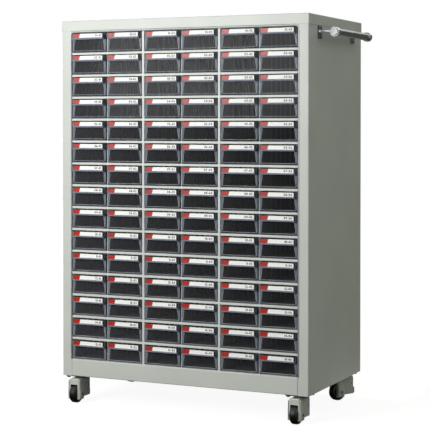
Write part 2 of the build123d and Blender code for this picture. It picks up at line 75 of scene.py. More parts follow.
# Sizes and places that follow the CAD part, in millimetres. A drawer's own frame has its
# front at Y = 0, its floor at Z = 0 and its middle at X = 0.
CARD_THICKNESS = 0.3
CARD_ROUND = 0.8            # corners of a card and of its tab
FILM_THICKNESS = 0.08
NUMBER_MARGIN = 3.0         # from the card's right end
NUMBER_GAP = 0.9            # after each sign
NUMBER_BOLD = 0.26          # added all round a sign
DIGIT_RISE = 0.34           # half a digit's height over the size of the type
WINDOW_LOW, WINDOW_HIGH = 4.2, 33.7
WINDOW_FOOT, WINDOW_HEAD = 46.5, 42.0       # half its width at its foot and at its head
WINDOW_ROUND = 1.5
WINDOW_EDGE = (             # section of its edge: outwards from the window, and Y
    (-0.15, 0.6), (-0.15, 0.15), (0.2, -0.25), (0.6, -0.3), (0.85, 0.0), (0.85, 0.6),
)
FROST_GAP, FROST_MARGIN = 1.3, 1.6          # from the window, and from the drawer's side
FROST_ROUND, FROST_PROUD = 0.6, 0.3
LIP_HALF = 46.0             # half the length of a finger lip
LIP_EDGE = (                # section of the lip: Z and Y
    (37.6, -9.05), (36.9, -9.32), (36.0, -9.25), (35.1, -8.8), (34.3, -8.1),
    (33.8, -7.35), (34.1, -7.2), (37.2, -7.35),
)
PULL_CORNER = 5.0           # radius of a pull's upright corners
PULL_CORNER_X = 43.93       # X of that radius's middle
RIM_MIDDLE, RIM_HALF = 43.0, 5.0            # height of a slot rim's middle, half its height
RIM_LEAN, RIM_SPREAD = 32, 24               # degrees round the corner: middle, half width
RIM_BEAD = 0.45             # radius of the rim's own section
RIM_STEPS, RIM_SIDES = 20, 6
RIB_FIRST, RIB_PITCH, RIB_HALF = 75.0, 31.0, 2.2    # ribs of the side walls, along Y; half width of each painted highlight band
CELL_SHADE_START, CELL_SHADE_FADE = 4.0, 22.0            # depth where the painted cell shade begins behind the front, and over which it darkens

# The bead round the opening, in the cabinet's frame.
BEAD_OFFSET = 2.4           # of its middle from the shelves' ends
BEAD_TOP = 980.3            # height of its middle over the top row
BEAD_CORNER = 9.0
BEAD_CLEARANCE = 0.5        # over the front band
BEAD_STEPS = 9
GAP_SHADOW_WIDTH, GAP_SHADOW_PROUD = 1.2, 0.1       # a dark strip: painted shadow in the gap outside the bead

FLANGE_FACE = 2.6           # outer face of a handle flange, from the panel

# A caster's fork, in millimetres from the middle of its axle: X along it, Y back, Z up.
FORK_HALF = 17.0
LEG_FRONT, LEG_REAR = -12.0, 11.0
CHEEK_FRONT_INSET, CHEEK_REAR_INSET = 0.4, 0.6      # from the leg's edges
CHEEK_LOW, CHEEK_HIGH = -13.4, 35.0
CHEEK_SWELL = 2.2           # how far a cheek stands out at most
CHEEK_FULL = 4.0            # height where it gets there
CHEEK_TOE, CHEEK_TOE_SHARE = 5.0, 0.15      # height of the rounded toe, what is left at its tip
CHEEK_SKIN, CHEEK_SINK, CHEEK_ROOT = 0.15, 0.1, 0.6
CHEEK_SQUARE = 0.7          # below 1, the section is squarer than half an ellipse
NECK_LOW, NECK_CUT, NECK_POWER = 6.0, 13.0, 1.3     # how the rear edge draws in upwards
CHEEK_RINGS, CHEEK_SIDES = 26, 15
BOSS_RADIUS, BOSS_TOP = 8.0, 6.0            # at the foot and at the top of its dome
BOSS_ROOT, BOSS_FOOT, BOSS_HEAD = -1.5, -0.2, 0.15  # from the cheek's face
BOSS_STEPS, BOSS_SIDES = 6, 28

# The camera that the photograph's own corners and rows give.
CAMERA_PLACE = (1.535, -3.3205, 0.7428)
CAMERA_TURN, CAMERA_PITCH = 25.052, 1.007
CAMERA_LENS, CAMERA_SENSOR = 115.33, 36.0
CAMERA_SHIFT = -0.1595      # the photograph's upright edges are almost parallel

# Lamps, floor and flags, in metres. A flag is a card off camera, given by its near lower
# and its far upper corner, with its colour up to half its height and that at its head.
KEY_PLACE, KEY_TARGET, KEY_SIZE = (-0.8, -2.0, 1.2), (-0.03, -0.19, 0.72), 0.9
SIDE_PLACE, SIDE_TARGET, SIDE_SIZE = (2.4, -0.6, 1.7), (0.32, 0.0, 0.85), 1.5
FLOOR_HALF, FLOOR_GREY = 8.0, "666666"
WHITE = (1.0, 1.0, 1.0, 1.0)
FLAG_CLOTH, FLAG_BLACK, FLAG_WHITE = "595f57", "262626", "ffffff"
FLAG_LIFT = 0.002           # of the flags that lie on the floor
FLAGS = (
    ("back_flag", (-0.6, 2.2, 0), (2.4, 2.2, 1.62), FLAG_CLOTH, FLAG_CLOTH),
    ("side_flag", (0.45, -0.3, FLAG_LIFT), (2.4, 2.2, FLAG_LIFT), FLAG_CLOTH, FLAG_CLOTH),
    ("front_flag", (-2.4, -0.8, 0), (1, -0.8, 1.3), FLAG_BLACK, FLAG_WHITE),
    ("foot_flag", (-2.4, -0.8, FLAG_LIFT), (1, 0.2, FLAG_LIFT), FLAG_BLACK, FLAG_BLACK),
)
CLEAR_WALLS = 24            # how many clear walls a ray may cross

MIX_FIRST, MIX_SECOND, MIX_COLOUR = 6, 7, 2         # a Mix node's sockets for colour


# ---------------------------------------------------------------- small helpers
def linear(hex_colour):
    """sRGB hex such as 'c9cdc6' as linear red, green, blue and a full alpha."""
    srgb = np.array([int(hex_colour[i:i + 2], 16) for i in (0, 2, 4)]) / 255
    low, high = srgb / 12.92, ((srgb + 0.055) / 1.055) ** 2.4
    return (*np.where(srgb <= 0.04045, low, high).tolist(), 1.0)


def shade(colour, share=1.0):
    """The colour with its red, green and blue cut to a share of themselves."""
    return (*[part * share for part in tuple(colour)[:3]], 1.0)


def per_mm(size):
    """Scale of a noise whose patches are about this many millimetres across."""
    return 1 / (size * MM)


def add_node(tree, kind, settings=None, inputs=None):
    """One node. Settings are its own properties, inputs its sockets by name or number,
    each with the value it holds or with the socket or node that feeds it."""
    node = tree.nodes.new(kind)
    for name, value in (settings or {}).items():
        setattr(node, name, value)
    for name, value in (inputs or {}).items():
        if isinstance(value, bpy.types.Node):
            value = value.outputs[0]
        if isinstance(value, bpy.types.NodeSocket):
            tree.links.new(value, node.inputs[name])
        else:
            node.inputs[name].default_value = value
    return node


def new_finish(name):
    """A material with an empty tree, and its point in object space."""
    material = bpy.data.materials.new(name)
    material.use_nodes = True
    tree = material.node_tree
    tree.nodes.clear()
    return material, tree, add_node(tree, "ShaderNodeTexCoord").outputs["Object"]


def finish(tree, inputs):
    """Principled shader with these inputs, taken to the material's output."""
    shader = add_node(tree, "ShaderNodeBsdfPrincipled", inputs=inputs)
    add_node(tree, "ShaderNodeOutputMaterial", inputs={"Surface": shader})


def from_to(tree, source, low, high, first, second):
    """Colour that goes from the first to the second as the source goes from low to
    high. Each colour is a value or a socket."""
    share = add_node(
        tree, "ShaderNodeMapRange", inputs={"Value": source, "From Min": low, "From Max": high}
    )
    mix = add_node(
        tree, "ShaderNodeMix", {"data_type": "RGBA"}, {0: share, MIX_FIRST: first, MIX_SECOND: second}
    )
    return mix.outputs[MIX_COLOUR]


# ---------------------------------------------------------------- finishes
def powder_coat(name, colour, deepest, roughness, cell_shade=None, front=0.0):
    """Powder-coated sheet steel, baked on: an even satin colour whose fine orange peel
    breaks up the light, a little deeper in broad patches. Where a cell shade colour is
    given, the colour darkens to it behind the front: painted shade deep in a cell."""
    material, tree, place = new_finish(name)
    patches = add_node(
        tree, "ShaderNodeTexNoise", inputs={"Vector": place, "Scale": per_mm(180), "Detail": 3}
    )
    colour = from_to(tree, patches, 0.35, 0.65, shade(colour, deepest), shade(colour))
    # Painted shade: behind the front of a cell the colour darkens to the dark colour given.
    if cell_shade is not None:
        y = add_node(tree, "ShaderNodeSeparateXYZ", inputs={0: place}).outputs["Y"]
        full = front + CELL_SHADE_START * MM
        colour = from_to(tree, y, full, full + CELL_SHADE_FADE * MM, colour, shade(cell_shade))
    handled = add_node(
        tree, "ShaderNodeTexNoise", inputs={"Vector": place, "Scale": per_mm(40), "Detail": 3}
    )
    gloss = add_node(
        tree, "ShaderNodeMapRange",
        inputs={"Value": handled, "To Min": roughness - 0.05, "To Max": roughness + 0.05},
    )
    peel = add_node(
        tree, "ShaderNodeTexNoise", inputs={"Vector": place, "Scale": per_mm(1.6), "Detail": 2}
    )
    normal = add_node(
        tree, "ShaderNodeBump", inputs={"Height": peel, "Distance": 0.05 * MM, "Strength": 0.5}
    )
    finish(tree, {"Base Color": colour, "Roughness": gloss, "Normal": normal, "IOR": 1.5})
    return material


def rib_highlights(tree, place, front):
    """1 on the side walls in a band at each rib, a painted highlight wider than the rib
    itself, and 0 elsewhere. The bands repeat along Y behind the drawer's front."""
    y = add_node(tree, "ShaderNodeSeparateXYZ", inputs={0: place}).outputs["Y"]
    start = front + (RIB_FIRST - RIB_PITCH / 2) * MM
    depth = add_node(tree, "ShaderNodeMath", {"operation": "SUBTRACT"}, {0: y, 1: start})
    turn = add_node(tree, "ShaderNodeMath", {"operation": "FLOORED_MODULO"}, {0: depth, 1: RIB_PITCH * MM})
    band = add_node(
        tree, "ShaderNodeMath", {"operation": "COMPARE"}, {0: turn, 1: RIB_PITCH / 2 * MM, 2: RIB_HALF * MM}
    )
    behind = add_node(tree, "ShaderNodeMath", {"operation": "GREATER_THAN"}, {0: depth, 1: 0.0})
    normal = add_node(tree, "ShaderNodeTexCoord").outputs["Normal"]
    sideways = add_node(tree, "ShaderNodeSeparateXYZ", inputs={0: normal}).outputs["X"]
    steep = add_node(tree, "ShaderNodeMath", {"operation": "ABSOLUTE"}, {0: sideways})
    wall = add_node(tree, "ShaderNodeMath", {"operation": "GREATER_THAN"}, {0: steep, 1: 0.7})
    bands = add_node(tree, "ShaderNodeMath", {"operation": "MULTIPLY"}, {0: band, 1: behind})
    return add_node(tree, "ShaderNodeMath", {"operation": "MULTIPLY"}, {0: bands, 1: wall})


def clear_polystyrene(name, face, edge, face_alpha, edge_alpha, front=None):
    """Injection-moulded clear polystyrene: see-through where it is looked at squarely and
    milky blue-grey where it is seen edge-on, with the slow waves of a moulded wall. Where
    a front is given, level faces stay clearer and each rib gets a milky painted highlight."""
    material, tree, place = new_finish(name)
    facing = add_node(tree, "ShaderNodeLayerWeight", inputs={"Blend": 0.45}).outputs["Facing"]
    if front is not None:
        normal = add_node(tree, "ShaderNodeTexCoord").outputs["Normal"]
        upright = add_node(tree, "ShaderNodeSeparateXYZ", inputs={0: normal}).outputs["Z"]
        level = add_node(tree, "ShaderNodeMath", {"operation": "ABSOLUTE"}, {0: upright})
        milk = add_node(tree, "ShaderNodeMapRange", inputs={"Value": level, "To Min": 1.0, "To Max": 0.25})
        facing = add_node(tree, "ShaderNodeMath", {"operation": "MULTIPLY"}, {0: facing, 1: milk})
        # Painted highlight: a milky band on the side walls at each rib.
        ribs = rib_highlights(tree, place, front)
        facing = add_node(tree, "ShaderNodeMath", {"operation": "MAXIMUM"}, {0: facing, 1: ribs})
    alpha = add_node(tree, "ShaderNodeMapRange", inputs={
        "Value": facing, "From Min": 0.05, "From Max": 0.85, "To Min": face_alpha, "To Max": edge_alpha,
    })
    waves = add_node(
        tree, "ShaderNodeTexNoise", inputs={"Vector": place, "Scale": per_mm(9), "Detail": 1}
    )
    normal = add_node(
        tree, "ShaderNodeBump", inputs={"Height": waves, "Distance": 0.15 * MM, "Strength": 0.4}
    )
    colour = from_to(tree, facing, 0.15, 0.8, shade(face), shade(edge))
    finish(tree, {"Base Color": colour, "Alpha": alpha, "Normal": normal, "Roughness": 0.08, "IOR": 1.59})
    return material


def printed_card(name, paper):
    """White card stock, cut to a strip: matt, with a faint fibre that keeps it from
    looking like plastic. The fibre is drawn coarser than real, so that it shows."""
    material, tree, place = new_finish(name)
    fibre = add_node(
        tree, "ShaderNodeTexNoise", inputs={"Vector": place, "Scale": per_mm(0.9), "Detail": 5}
    )
    normal = add_node(
        tree, "ShaderNodeBump", inputs={"Height": fibre, "Distance": 0.02 * MM, "Strength": 0.4}
    )
    colour = from_to(tree, fibre, 0.3, 0.55, shade(paper, 0.88), shade(paper))
    finish(tree, {"Base Color": colour, "Normal": normal, "Roughness": 0.62, "IOR": 1.45})
    return material


def coated_film(name, colour, deepest, roughness):
    """Ink printed on gloss film: a strong even colour, deeper where the ink pooled."""
    material, tree, place = new_finish(name)
    pooled = add_node(
        tree, "ShaderNodeTexNoise", inputs={"Vector": place, "Scale": per_mm(5), "Detail": 2}
    )
    colour = from_to(tree, pooled, 0.3, 0.6, shade(colour, deepest), shade(colour))
    finish(tree, {"Base Color": colour, "Roughness": roughness, "IOR": 1.48})
    return material


def plated_metal(name, colour_hex, dull_hex, roughness, grain_mm, depth_mm, flange=None):
    """Plated metal, polished or dipped: bright, with roughness that changes from place to
    place as the plating does. Where a flange is given, as its outer X and its colour,
    what lies nearer the panel than that X takes that dark blue: painted reflection and shade."""
    material, tree, place = new_finish(name)
    cloud = add_node(
        tree, "ShaderNodeTexNoise", inputs={"Vector": place, "Scale": per_mm(8 * grain_mm), "Detail": 3}
    )
    colour = from_to(tree, cloud, 0.35, 0.6, linear(dull_hex), linear(colour_hex))
    # Painted reflection and shade: the chrome is coloured dark blue nearer the panel.
    if flange:
        outer, blue = flange
        x = add_node(tree, "ShaderNodeSeparateXYZ", inputs={0: place}).outputs["X"]
        inside = add_node(tree, "ShaderNodeMath", {"operation": "LESS_THAN"}, {0: x, 1: outer})
        mix = add_node(
            tree, "ShaderNodeMix", {"data_type": "RGBA"},
            {0: inside, MIX_FIRST: colour, MIX_SECOND: linear(blue)},
        )
        colour = mix.outputs[MIX_COLOUR]
    gloss = add_node(
        tree, "ShaderNodeMapRange",
        inputs={"Value": cloud, "To Min": roughness * 1.4, "To Max": roughness * 0.7},
    )
    grain = add_node(
        tree, "ShaderNodeTexNoise", inputs={"Vector": place, "Scale": per_mm(grain_mm), "Detail": 4}
    )
    normal = add_node(
        tree, "ShaderNodeBump", inputs={"Height": grain, "Distance": depth_mm * MM, "Strength": 0.3}
    )
    finish(tree, {"Base Color": colour, "Roughness": gloss, "Normal": normal, "Metallic": 1.0})
    return material


def moulded_plastic(name, colour_hex, worn_hex, roughness):
    """Moulded nylon or ABS, greyed a little where dust and wear sit. Its spark-eroded
    grain is drawn coarser than real, so that it shows."""
    material, tree, place = new_finish(name)
    dust = add_node(
        tree, "ShaderNodeTexNoise", inputs={"Vector": place, "Scale": per_mm(14), "Detail": 4}
    )
    grain = add_node(
        tree, "ShaderNodeTexNoise", inputs={"Vector": place, "Scale": per_mm(0.8), "Detail": 3}
    )
    normal = add_node(
        tree, "ShaderNodeBump", inputs={"Height": grain, "Distance": 0.04 * MM, "Strength": 0.4}
    )
    colour = from_to(tree, dust, 0.45, 0.8, linear(colour_hex), linear(worn_hex))
    finish(tree, {"Base Color": colour, "Normal": normal, "Roughness": roughness, "IOR": 1.53})
    return material


def dress(node, material):
    """Gives a CAD node its finish."""
    mesh = frame["nodes"][node].data
    mesh.materials.clear()
    mesh.materials.append(material)


# ---------------------------------------------------------------- shapes
def build(name, points, faces, body, material, smooth=True):
    """Mesh object of points in millimetres that rides on a body and has a
    finish. Its faces are turned outwards."""
    mesh = bpy.data.meshes.new(name)
    mesh.from_pydata((np.asarray(points) * MM).tolist(), [], faces)
    shape = bmesh.new()
    shape.from_mesh(mesh)
    bmesh.ops.recalc_face_normals(shape, faces=shape.faces)
    shape.to_mesh(mesh)
    shape.free()
    mesh.polygons.foreach_set("use_smooth", np.full(len(mesh.polygons), smooth))
    mesh.materials.append(material)
    piece = bpy.data.objects.new(name, mesh)
    bpy.context.scene.collection.objects.link(piece)
    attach(piece, body)
    return piece


def tube_faces(rings, count, joined=False):
    """Quads between neighbouring rings of count points, also from the last ring back to
    the first where the shape is joined lengthways."""
    ring = np.arange(rings if joined else rings - 1)[:, None]
    point = np.arange(count)[None, :]
    here, after = ring * count, ((ring + 1) % rings) * count
    turn = (point + 1) % count
    return np.stack([here + point, here + turn, after + turn, after + point], -1).reshape(-1, 4).tolist()


def with_lids(points, faces, count):
    """Closes both ends of a row of rings, each with a fan round its middle point."""
    middles = np.stack([points[:count].mean(0), points[-count:].mean(0)])
    centre, last, turn = len(points), len(points) - count, np.arange(count)
    near = np.stack([np.full(count, centre), turn, (turn + 1) % count], -1)
    far = np.stack([np.full(count, centre + 1), last + turn, last + (turn + 1) % count], -1)
    return np.vstack([points, middles]), faces + near.tolist() + far.tolist()


def plate(outline, front, back):
    """Flat plate: the outline, in X and Z, set at Y = front and again at Y = back, with
    walls between and a fan on each side."""
    rings = [np.insert(outline, 1, depth, axis=1) for depth in (front, back)]
    return with_lids(np.vstack(rings), tube_faces(2, len(outline)), len(outline))


def rounded(corners, radius, steps=4):
    """Outline with its corners rounded: at corner c, the quadratic Bezier curve from the
    point radius before c to the point radius after it, with c as its middle control."""
    corners = np.asarray(corners, float)
    before, after = np.roll(corners, 1, 0) - corners, np.roll(corners, -1, 0) - corners
    start = corners + radius * before / np.linalg.norm(before, axis=1, keepdims=True)
    end = corners + radius * after / np.linalg.norm(after, axis=1, keepdims=True)
    t = np.linspace(0, 1, steps)[None, :, None]
    arc = (1 - t) ** 2 * start[:, None] + 2 * t * (1 - t) * corners[:, None] + t**2 * end[:, None]
    return arc.reshape(-1, 2)


def swept(path, section, joined):
    """Section carried along a path in the XZ plane: at each path point p with unit normal
    n in that plane, section point (a, b) lands at p + a n in X and Z and at Y = b."""
    path, section = np.asarray(path, float), np.asarray(section, float)
    if joined:
        along = np.roll(path, -1, 0) - np.roll(path, 1, 0)
    else:
        along = np.gradient(path, axis=0)
    along /= np.linalg.norm(along, axis=1, keepdims=True)
    normal = np.stack([along[:, 1], -along[:, 0]], -1)
    flat = path[:, None] + section[None, :, :1] * normal[:, None]
    depth = np.broadcast_to(section[None, :, 1:], (*flat.shape[:2], 1))
    points = np.concatenate([flat[..., :1], depth, flat[..., 1:]], -1).reshape(-1, 3)
    faces = tube_faces(len(path), len(section), joined)
    return (points, faces) if joined else with_lids(points, faces, len(section))


def turned(profile, steps):
    """Surface of revolution about X: profile point (x, r) at turn a lands at
    (x, r cos a, r sin a). The two ends are closed by fans."""
    profile = np.asarray(profile, float)
    turn = np.linspace(0, 2 * np.pi, steps, endpoint=False)
    rings = [np.stack([np.full(steps, x), r * np.cos(turn), r * np.sin(turn)], -1) for x, r in profile]
    return with_lids(np.vstack(rings), tube_faces(len(profile), steps), steps)


def together(*shapes):
    """Several (points, faces) as one."""
    points, faces, step = [], [], 0
    for own_points, own_faces in shapes:
        points.append(own_points)
        faces += [[v + step for v in face] for face in own_faces]
        step += len(own_points)
    return np.vstack(points), faces


def set_down(shape, spots):
    """The same shape at each of the spots."""
    points, faces = shape
    return together(*[(points + spot, faces) for spot in spots])


def mirrored(shape):
    """The shape and its mirror image in X."""
    points, faces = shape
    return together(shape, (points * (-1, 1, 1), faces))


# ---------------------------------------------------------------- where the drawers are
def drawer_spots():
    """For each drawer body its row number, its column numbers and, in millimetres, the
    middle of the bottom edge of each of its drawers' fronts."""
    sizes = bpy.context.scene.cabinet_sizes
    cell = (sizes.cell_width + sizes.guide_width) / MM
    bay = (2 * sizes.cell_width + sizes.guide_width + sizes.post_width) / MM
    steps = [(column // 2) * bay + (column % 2) * cell for column in range(COLUMNS)]
    spots = {}
    for body in frame["bodies"]:
        if not body.startswith("drawer"):
            continue
        low = np.array(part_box(body)[0]) / MM
        first = low + (sizes.drawer_width / MM / 2, sizes.pull_depth / MM, 0)
        if body.startswith("drawers"):
            row, columns = int(body[-2:]), range(1, COLUMNS + 1)
            places = [first + (step, 0, 0) for step in steps]
        else:
            row, columns, places = int(body[8:10]), [int(body[-1])], [first]
        spots[body] = (row, columns, places)
    return spots


def on_every_drawer(stem, shape, material, smooth=False):
    """One piece for each drawer body: the shape, modelled for a drawer with its front at
    Y = 0 and its floor at Z = 0, set down at each of the body's drawers."""
    for body, (_, _, places) in drawer_spots().items():
        points, faces = set_down(shape, places)
        build(body.replace("drawer", stem, 1), points, faces, body, material, smooth)


# ---------------------------------------------------------------- settings
def length(name, description, millimetres):
    """Length that a user can change."""
    return bpy.props.FloatProperty(
        name=name, description=description, default=millimetres * MM, unit="LENGTH", min=0
    )


def tint(name, description, hex_colour):
    """Colour that a user can change."""
    return bpy.props.FloatVectorProperty(
        name=name, description=description, default=linear(hex_colour), size=4,
        subtype="COLOR", min=0, max=1,
    )


class CabinetSizes(bpy.types.PropertyGroup):
    """Sizes of what the drawers and their opening get"""
    cell_width: length("Cell width", "Clear width of one drawer's cell", 104.0667)
    guide_width: length("Guide width", "Thickness of the upright between two drawers", 1.2)
    post_width: length("Post width", "Width of the upright between two bays", 6.0)
    drawer_width: length("Drawer width", "Outside width of a drawer", 102.6667)
    pull_depth: length("Pull depth", "How far a drawer's pull stands out", 9.0)
    card_width: length("Card width", "Width of the card in a pull", 87.6)
    card_height: length("Card height", "Height of that card", 10.2)
    card_middle: length("Card middle", "Height of the card's middle over the floor", 43.0)
    card_face: length("Card face", "How far the card's face stands out", 8.7)
    tab_width: length("Tab width", "Width of the red tab along its top", 21.0)
    tab_slant: length("Tab slant", "How much shorter its lower edge is", 2.8)
    number_height: length("Number height", "Size of the numbers' type", 8.0)
    bead_width: length("Bead width", "Width of the bead round the opening", 3.0)
    bead_depth: length("Bead depth", "How far that bead stands out of its seat", 1.5)


class CabinetColours(bpy.types.PropertyGroup):
    """Colours of coats, plastics, cards and inks"""
    body: tint("Body", "Powder coat of the shell", "c9cdc9")
    shelf: tint("Shelves", "Powder coat of shelves and guides", "cdd1cf")
    caster: tint("Casters", "Enamel of the caster forks", "c6cac3")
    clear: tint("Drawers", "Clear plastic looked at squarely", "77767c")
    clear_edge: tint("Drawer edges", "Clear plastic seen edge-on", "c4ccd8")
    frost: tint("Frosted parts", "Frosted cheeks and lips of the drawers", "98a1b2")
    cell_shade: tint("Cell shade", "Painted shade deep inside a cell", "4a4b4c")
    gap_shadow: tint("Gap shadow", "Painted shadow in the gap outside the bead", "6b6f76")
    card: tint("Card", "Card stock", "fbfbfb")
    tab: tint("Tab", "Ink of the tab", "b82412")
    ink: tint("Numbers", "Ink of the numbers", "15161d")


class CabinetStage(bpy.types.PropertyGroup):
    """Strength of the stage's lights"""
    key_power: bpy.props.FloatProperty(
        name="Key light", description="Power of the large soft lamp", default=37, min=0, unit="POWER"
    )
    side_power: bpy.props.FloatProperty(
        name="Side light", description="Power of the weak lamp on the handle's side",
        default=6, min=0, unit="POWER",
    )
    fill: bpy.props.FloatProperty(
        name="Fill", description="Strength of the surrounding light", default=0.32, min=0
    )
    fill_tint: bpy.props.FloatVectorProperty(
        name="Fill colour", description="Colour of the surrounding light",
        default=(0.96, 1.0, 0.80, 1.0), size=4, subtype="COLOR", min=0, max=1,
    )
    floor_glow: bpy.props.FloatProperty(
        name="Floor glow", description="White added where the camera sees the floor",
        default=0.93, min=0,
    )


# ---------------------------------------------------------------- operators
class CabinetOperator(bpy.types.Operator):
    """What the operators of the cabinet's own pieces share"""
    bl_options = {"REGISTER", "UNDO"}

    def execute(self, context):
        self.make(context.scene.cabinet_sizes, context.scene.cabinet_colours)
        return {"FINISHED"}


class CABINET_OT_shell(CabinetOperator):
    """Finishes of the shell, shelves, guides and their fasteners"""
    bl_idname = "cabinet.shell"
    bl_label = "Finish the shell"

    def make(self, sizes, colours):
        shell = powder_coat("powder_coated_steel", colours.body, 0.94, 0.42)
        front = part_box("shelves_left")[0].y
        # The shelves darken deep in each cell: painted shade.
        inner = powder_coat("powder_coated_shelf_steel_shaded_inside", colours.shelf, 0.95, 0.40, colours.cell_shade, front)
        zinc = plated_metal(
            "zinc_plated_steel", "b9bcc0", "8e9196", roughness=0.32, grain_mm=2.5, depth_mm=0.02
        )
        for node in ("side_panel_left", "side_panel_right", "top_cover", "base_tray", "back_panel"):
            dress(node, shell)
        for node in ("inner_walls", "bay_partitions", "drawer_guides"):
            dress(node, inner)
        for side in ("left", "middle", "right"):
            dress("shelves_" + side, inner)
        dress("back_screws", zinc)


class CABINET_OT_drawers(CabinetOperator):
    """Clear plastic of the drawers"""
    bl_idname = "cabinet.drawers"
    bl_label = "Finish the drawers"

    def make(self, sizes, colours):
        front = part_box("drawers_row_01")[0].y + sizes.pull_depth
        clear = clear_polystyrene(
            "moulded_clear_polystyrene", colours.clear, colours.clear_edge,
            face_alpha=0.03, edge_alpha=0.75, front=front,
        )
        for body in drawer_spots():
            dress(body, clear)


def card_outline(sizes, foot_end, head_end):
    """Outline in X and Z from the card's left end to the X given for the right end of its
    foot and of its head."""
    left, tall = -sizes.card_width / MM / 2, sizes.card_height / MM / 2
    foot, head = sizes.card_middle / MM - tall, sizes.card_middle / MM + tall
    return rounded([(left, foot), (foot_end, foot), (head_end, head), (left, head)], CARD_ROUND)


class CABINET_OT_cards(CabinetOperator):
    """Card strips in the drawers' pulls"""
    bl_idname = "cabinet.cards"
    bl_label = "Add cards"

    def make(self, sizes, colours):
        right, face = sizes.card_width / MM / 2, sizes.card_face / MM
        shape = plate(card_outline(sizes, right, right), -face, -face + CARD_THICKNESS)
        on_every_drawer("card", shape, printed_card("cut_card_stock", colours.card))


class CABINET_OT_tabs(CabinetOperator):
    """Red tab at the left end of each card"""
    bl_idname = "cabinet.tabs"
    bl_label = "Add tabs"

    def make(self, sizes, colours):
        head_end = (sizes.tab_width - sizes.card_width / 2) / MM
        foot_end, face = head_end - sizes.tab_slant / MM, sizes.card_face / MM
        shape = plate(card_outline(sizes, foot_end, head_end), -face - FILM_THICKNESS, -face)
        ink = coated_film("printed_gloss_film", colours.tab, 0.85, 0.35)
        on_every_drawer("tab", shape, ink)


class CABINET_OT_numbers(CabinetOperator):
    """Row and column number at the right end of each card"""
    bl_idname = "cabinet.numbers"
    bl_label = "Add numbers"

    def make(self, sizes, colours):
        glyphs = {sign: self.glyph(sign, sizes.number_height) for sign in "0123456789-"}
        ink = coated_film("printed_black_ink", colours.ink, 0.7, 0.5)
        right = sizes.card_width / MM / 2 - NUMBER_MARGIN
        foot = sizes.card_middle / MM - sizes.number_height / MM * DIGIT_RISE
        for body, (row, columns, places) in drawer_spots().items():
            shapes = []
            for column, place in zip(columns, places):
                text = "%02d-%02d" % (row, column)
                widths = [glyphs[sign][1] for sign in text]
                starts = right - sum(widths) + np.cumsum([0, *widths[:-1]])
                for sign, start in zip(text, starts):
                    points, faces = glyphs[sign][0]
                    shapes.append((points + place + (start, -sizes.card_face / MM, foot), faces))
            points, faces = together(*shapes)
            build(body.replace("drawer", "number", 1), points, faces, body, ink, False)

    def glyph(self, sign, size):
        """One sign of the built-in face as a thin solid in millimetres, with its width:
        the type's X runs along X, its Y up Z, and its thickness along Y."""
        curve = bpy.data.curves.new("sign", "FONT")
        curve.body, curve.size, curve.resolution_u = sign, size, 2
        curve.extrude, curve.offset = FILM_THICKNESS / 2 * MM, NUMBER_BOLD * MM
        holder = bpy.data.objects.new("sign", curve)
        mesh = bpy.data.meshes.new_from_object(holder)
        points = np.empty(len(mesh.vertices) * 3)
        mesh.vertices.foreach_get("co", points)
        points = points.reshape(-1, 3)[:, (0, 2, 1)] * (1, -1, 1) / MM
        faces = [list(face.vertices) for face in mesh.polygons]
        width = points[:, 0].max() - points[:, 0].min()
        points[:, 0] -= points[:, 0].min()
        bpy.data.objects.remove(holder)
        bpy.data.curves.remove(curve)
        bpy.data.meshes.remove(mesh)
        return (points, faces), width + NUMBER_GAP


class CABINET_OT_windows(CabinetOperator):
    """Bevelled edge round each drawer's window and the frosted cheeks beside it"""
    bl_idname = "cabinet.windows"
    bl_label = "Add window edges"

    def make(self, sizes, colours):
        low, high = WINDOW_LOW, WINDOW_HIGH
        corners = [(-WINDOW_FOOT, low), (WINDOW_FOOT, low), (WINDOW_HEAD, high), (-WINDOW_HEAD, high)]
        edge = swept(rounded(corners, WINDOW_ROUND), WINDOW_EDGE, True)
        bevel = clear_polystyrene(
            "bevelled_polystyrene_edge", colours.clear_edge, colours.clear_edge,
            face_alpha=0.55, edge_alpha=0.9,
        )
        on_every_drawer("window_edge", edge, bevel)
        side = sizes.drawer_width / MM / 2 - FROST_MARGIN
        foot, head = WINDOW_FOOT + FROST_GAP, WINDOW_HEAD + FROST_GAP
        corners = [(foot, low), (side, low), (side, high), (head, high)]
        cheeks = mirrored(plate(rounded(corners, FROST_ROUND), -FROST_PROUD, 0.0))
        frost = clear_polystyrene(
            "frosted_polystyrene", colours.frost, colours.clear_edge, face_alpha=0.42, edge_alpha=0.85
        )
        on_every_drawer("cheek", cheeks, frost)


class CABINET_OT_pull_ends(CabinetOperator):
    """Dark slot rim on the rounded ends of each pull"""
    bl_idname = "cabinet.pull_ends"
    bl_label = "Add pull ends"

    def make(self, sizes, colours):
        rim = moulded_plastic("smoked_polystyrene", "4a4f5b", "6a707c", 0.3)
        on_every_drawer("pull_end", mirrored(self.rim(sizes)), rim, True)

    def rim(self, sizes):
        """Ring laid on an upright cylinder, the pull's corner. At turn u its middle line
        leans lean + spread cos(u) round the cylinder and stands half sin(u) over the
        middle. At turn v its own round section adds bead cos(v) to the cylinder's radius
        and makes the ring 1 + bead sin(v) / half times as wide."""
        u = np.linspace(0, 2 * np.pi, RIM_STEPS, endpoint=False)[:, None]
        v = np.linspace(0, 2 * np.pi, RIM_SIDES, endpoint=False)[None, :]
        reach = PULL_CORNER + RIM_BEAD * np.cos(v)
        widened = 1 + RIM_BEAD / RIM_HALF * np.sin(v)
        lean = np.radians(RIM_LEAN) + np.radians(RIM_SPREAD) * np.cos(u) * widened
        x = PULL_CORNER_X + reach * np.sin(lean)
        y = PULL_CORNER - sizes.pull_depth / MM - reach * np.cos(lean)
        z = RIM_MIDDLE + RIM_HALF * np.sin(u) * widened
        return np.stack([x, y, z], -1).reshape(-1, 3), tube_faces(RIM_STEPS, RIM_SIDES, True)


